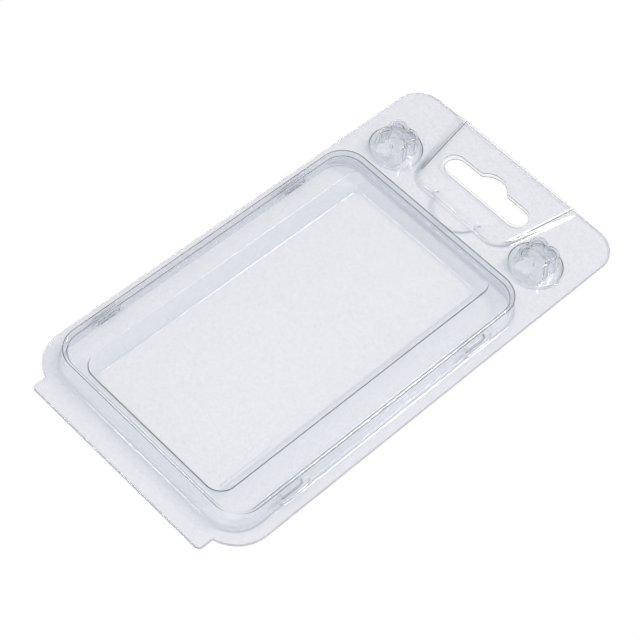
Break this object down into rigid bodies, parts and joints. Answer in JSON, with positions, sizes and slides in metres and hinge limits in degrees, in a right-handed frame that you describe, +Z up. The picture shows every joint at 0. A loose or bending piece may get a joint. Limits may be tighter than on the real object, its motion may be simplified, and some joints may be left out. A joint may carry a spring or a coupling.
{
  "type": "hanging clamshell memory module tray",
  "caption": "Clear folding clamshell pack with a sunken well under a raised cover bubble, fluted snap buttons and a wide hanging slot.",
  "frame": {"origin": "middle of the closed pack, on the flat face that it lies on", "axes": "+Y from the fold to the header with the hanging slot, +Z up out of the cover's bubble"},
  "size_m": [0.084, 0.1644, 0.0076],
  "materials": {
    "clear_sheet_back": "clear gloss formed sheet",
    "clear_sheet_front": "clear gloss formed sheet"
  },
  "bodies": {
    "back": {"back_tray": "clear_sheet_back"},
    "front": {"front_cover": "clear_sheet_front"}
  },
  "joints": [
    {"name": "cover_hinge", "type": "hinge", "parent": "back", "child": "front", "pos_m": [0, -0.08182, 0.00035], "axis": [1, 0, 0], "range_deg": [0, 145]}
  ]
}
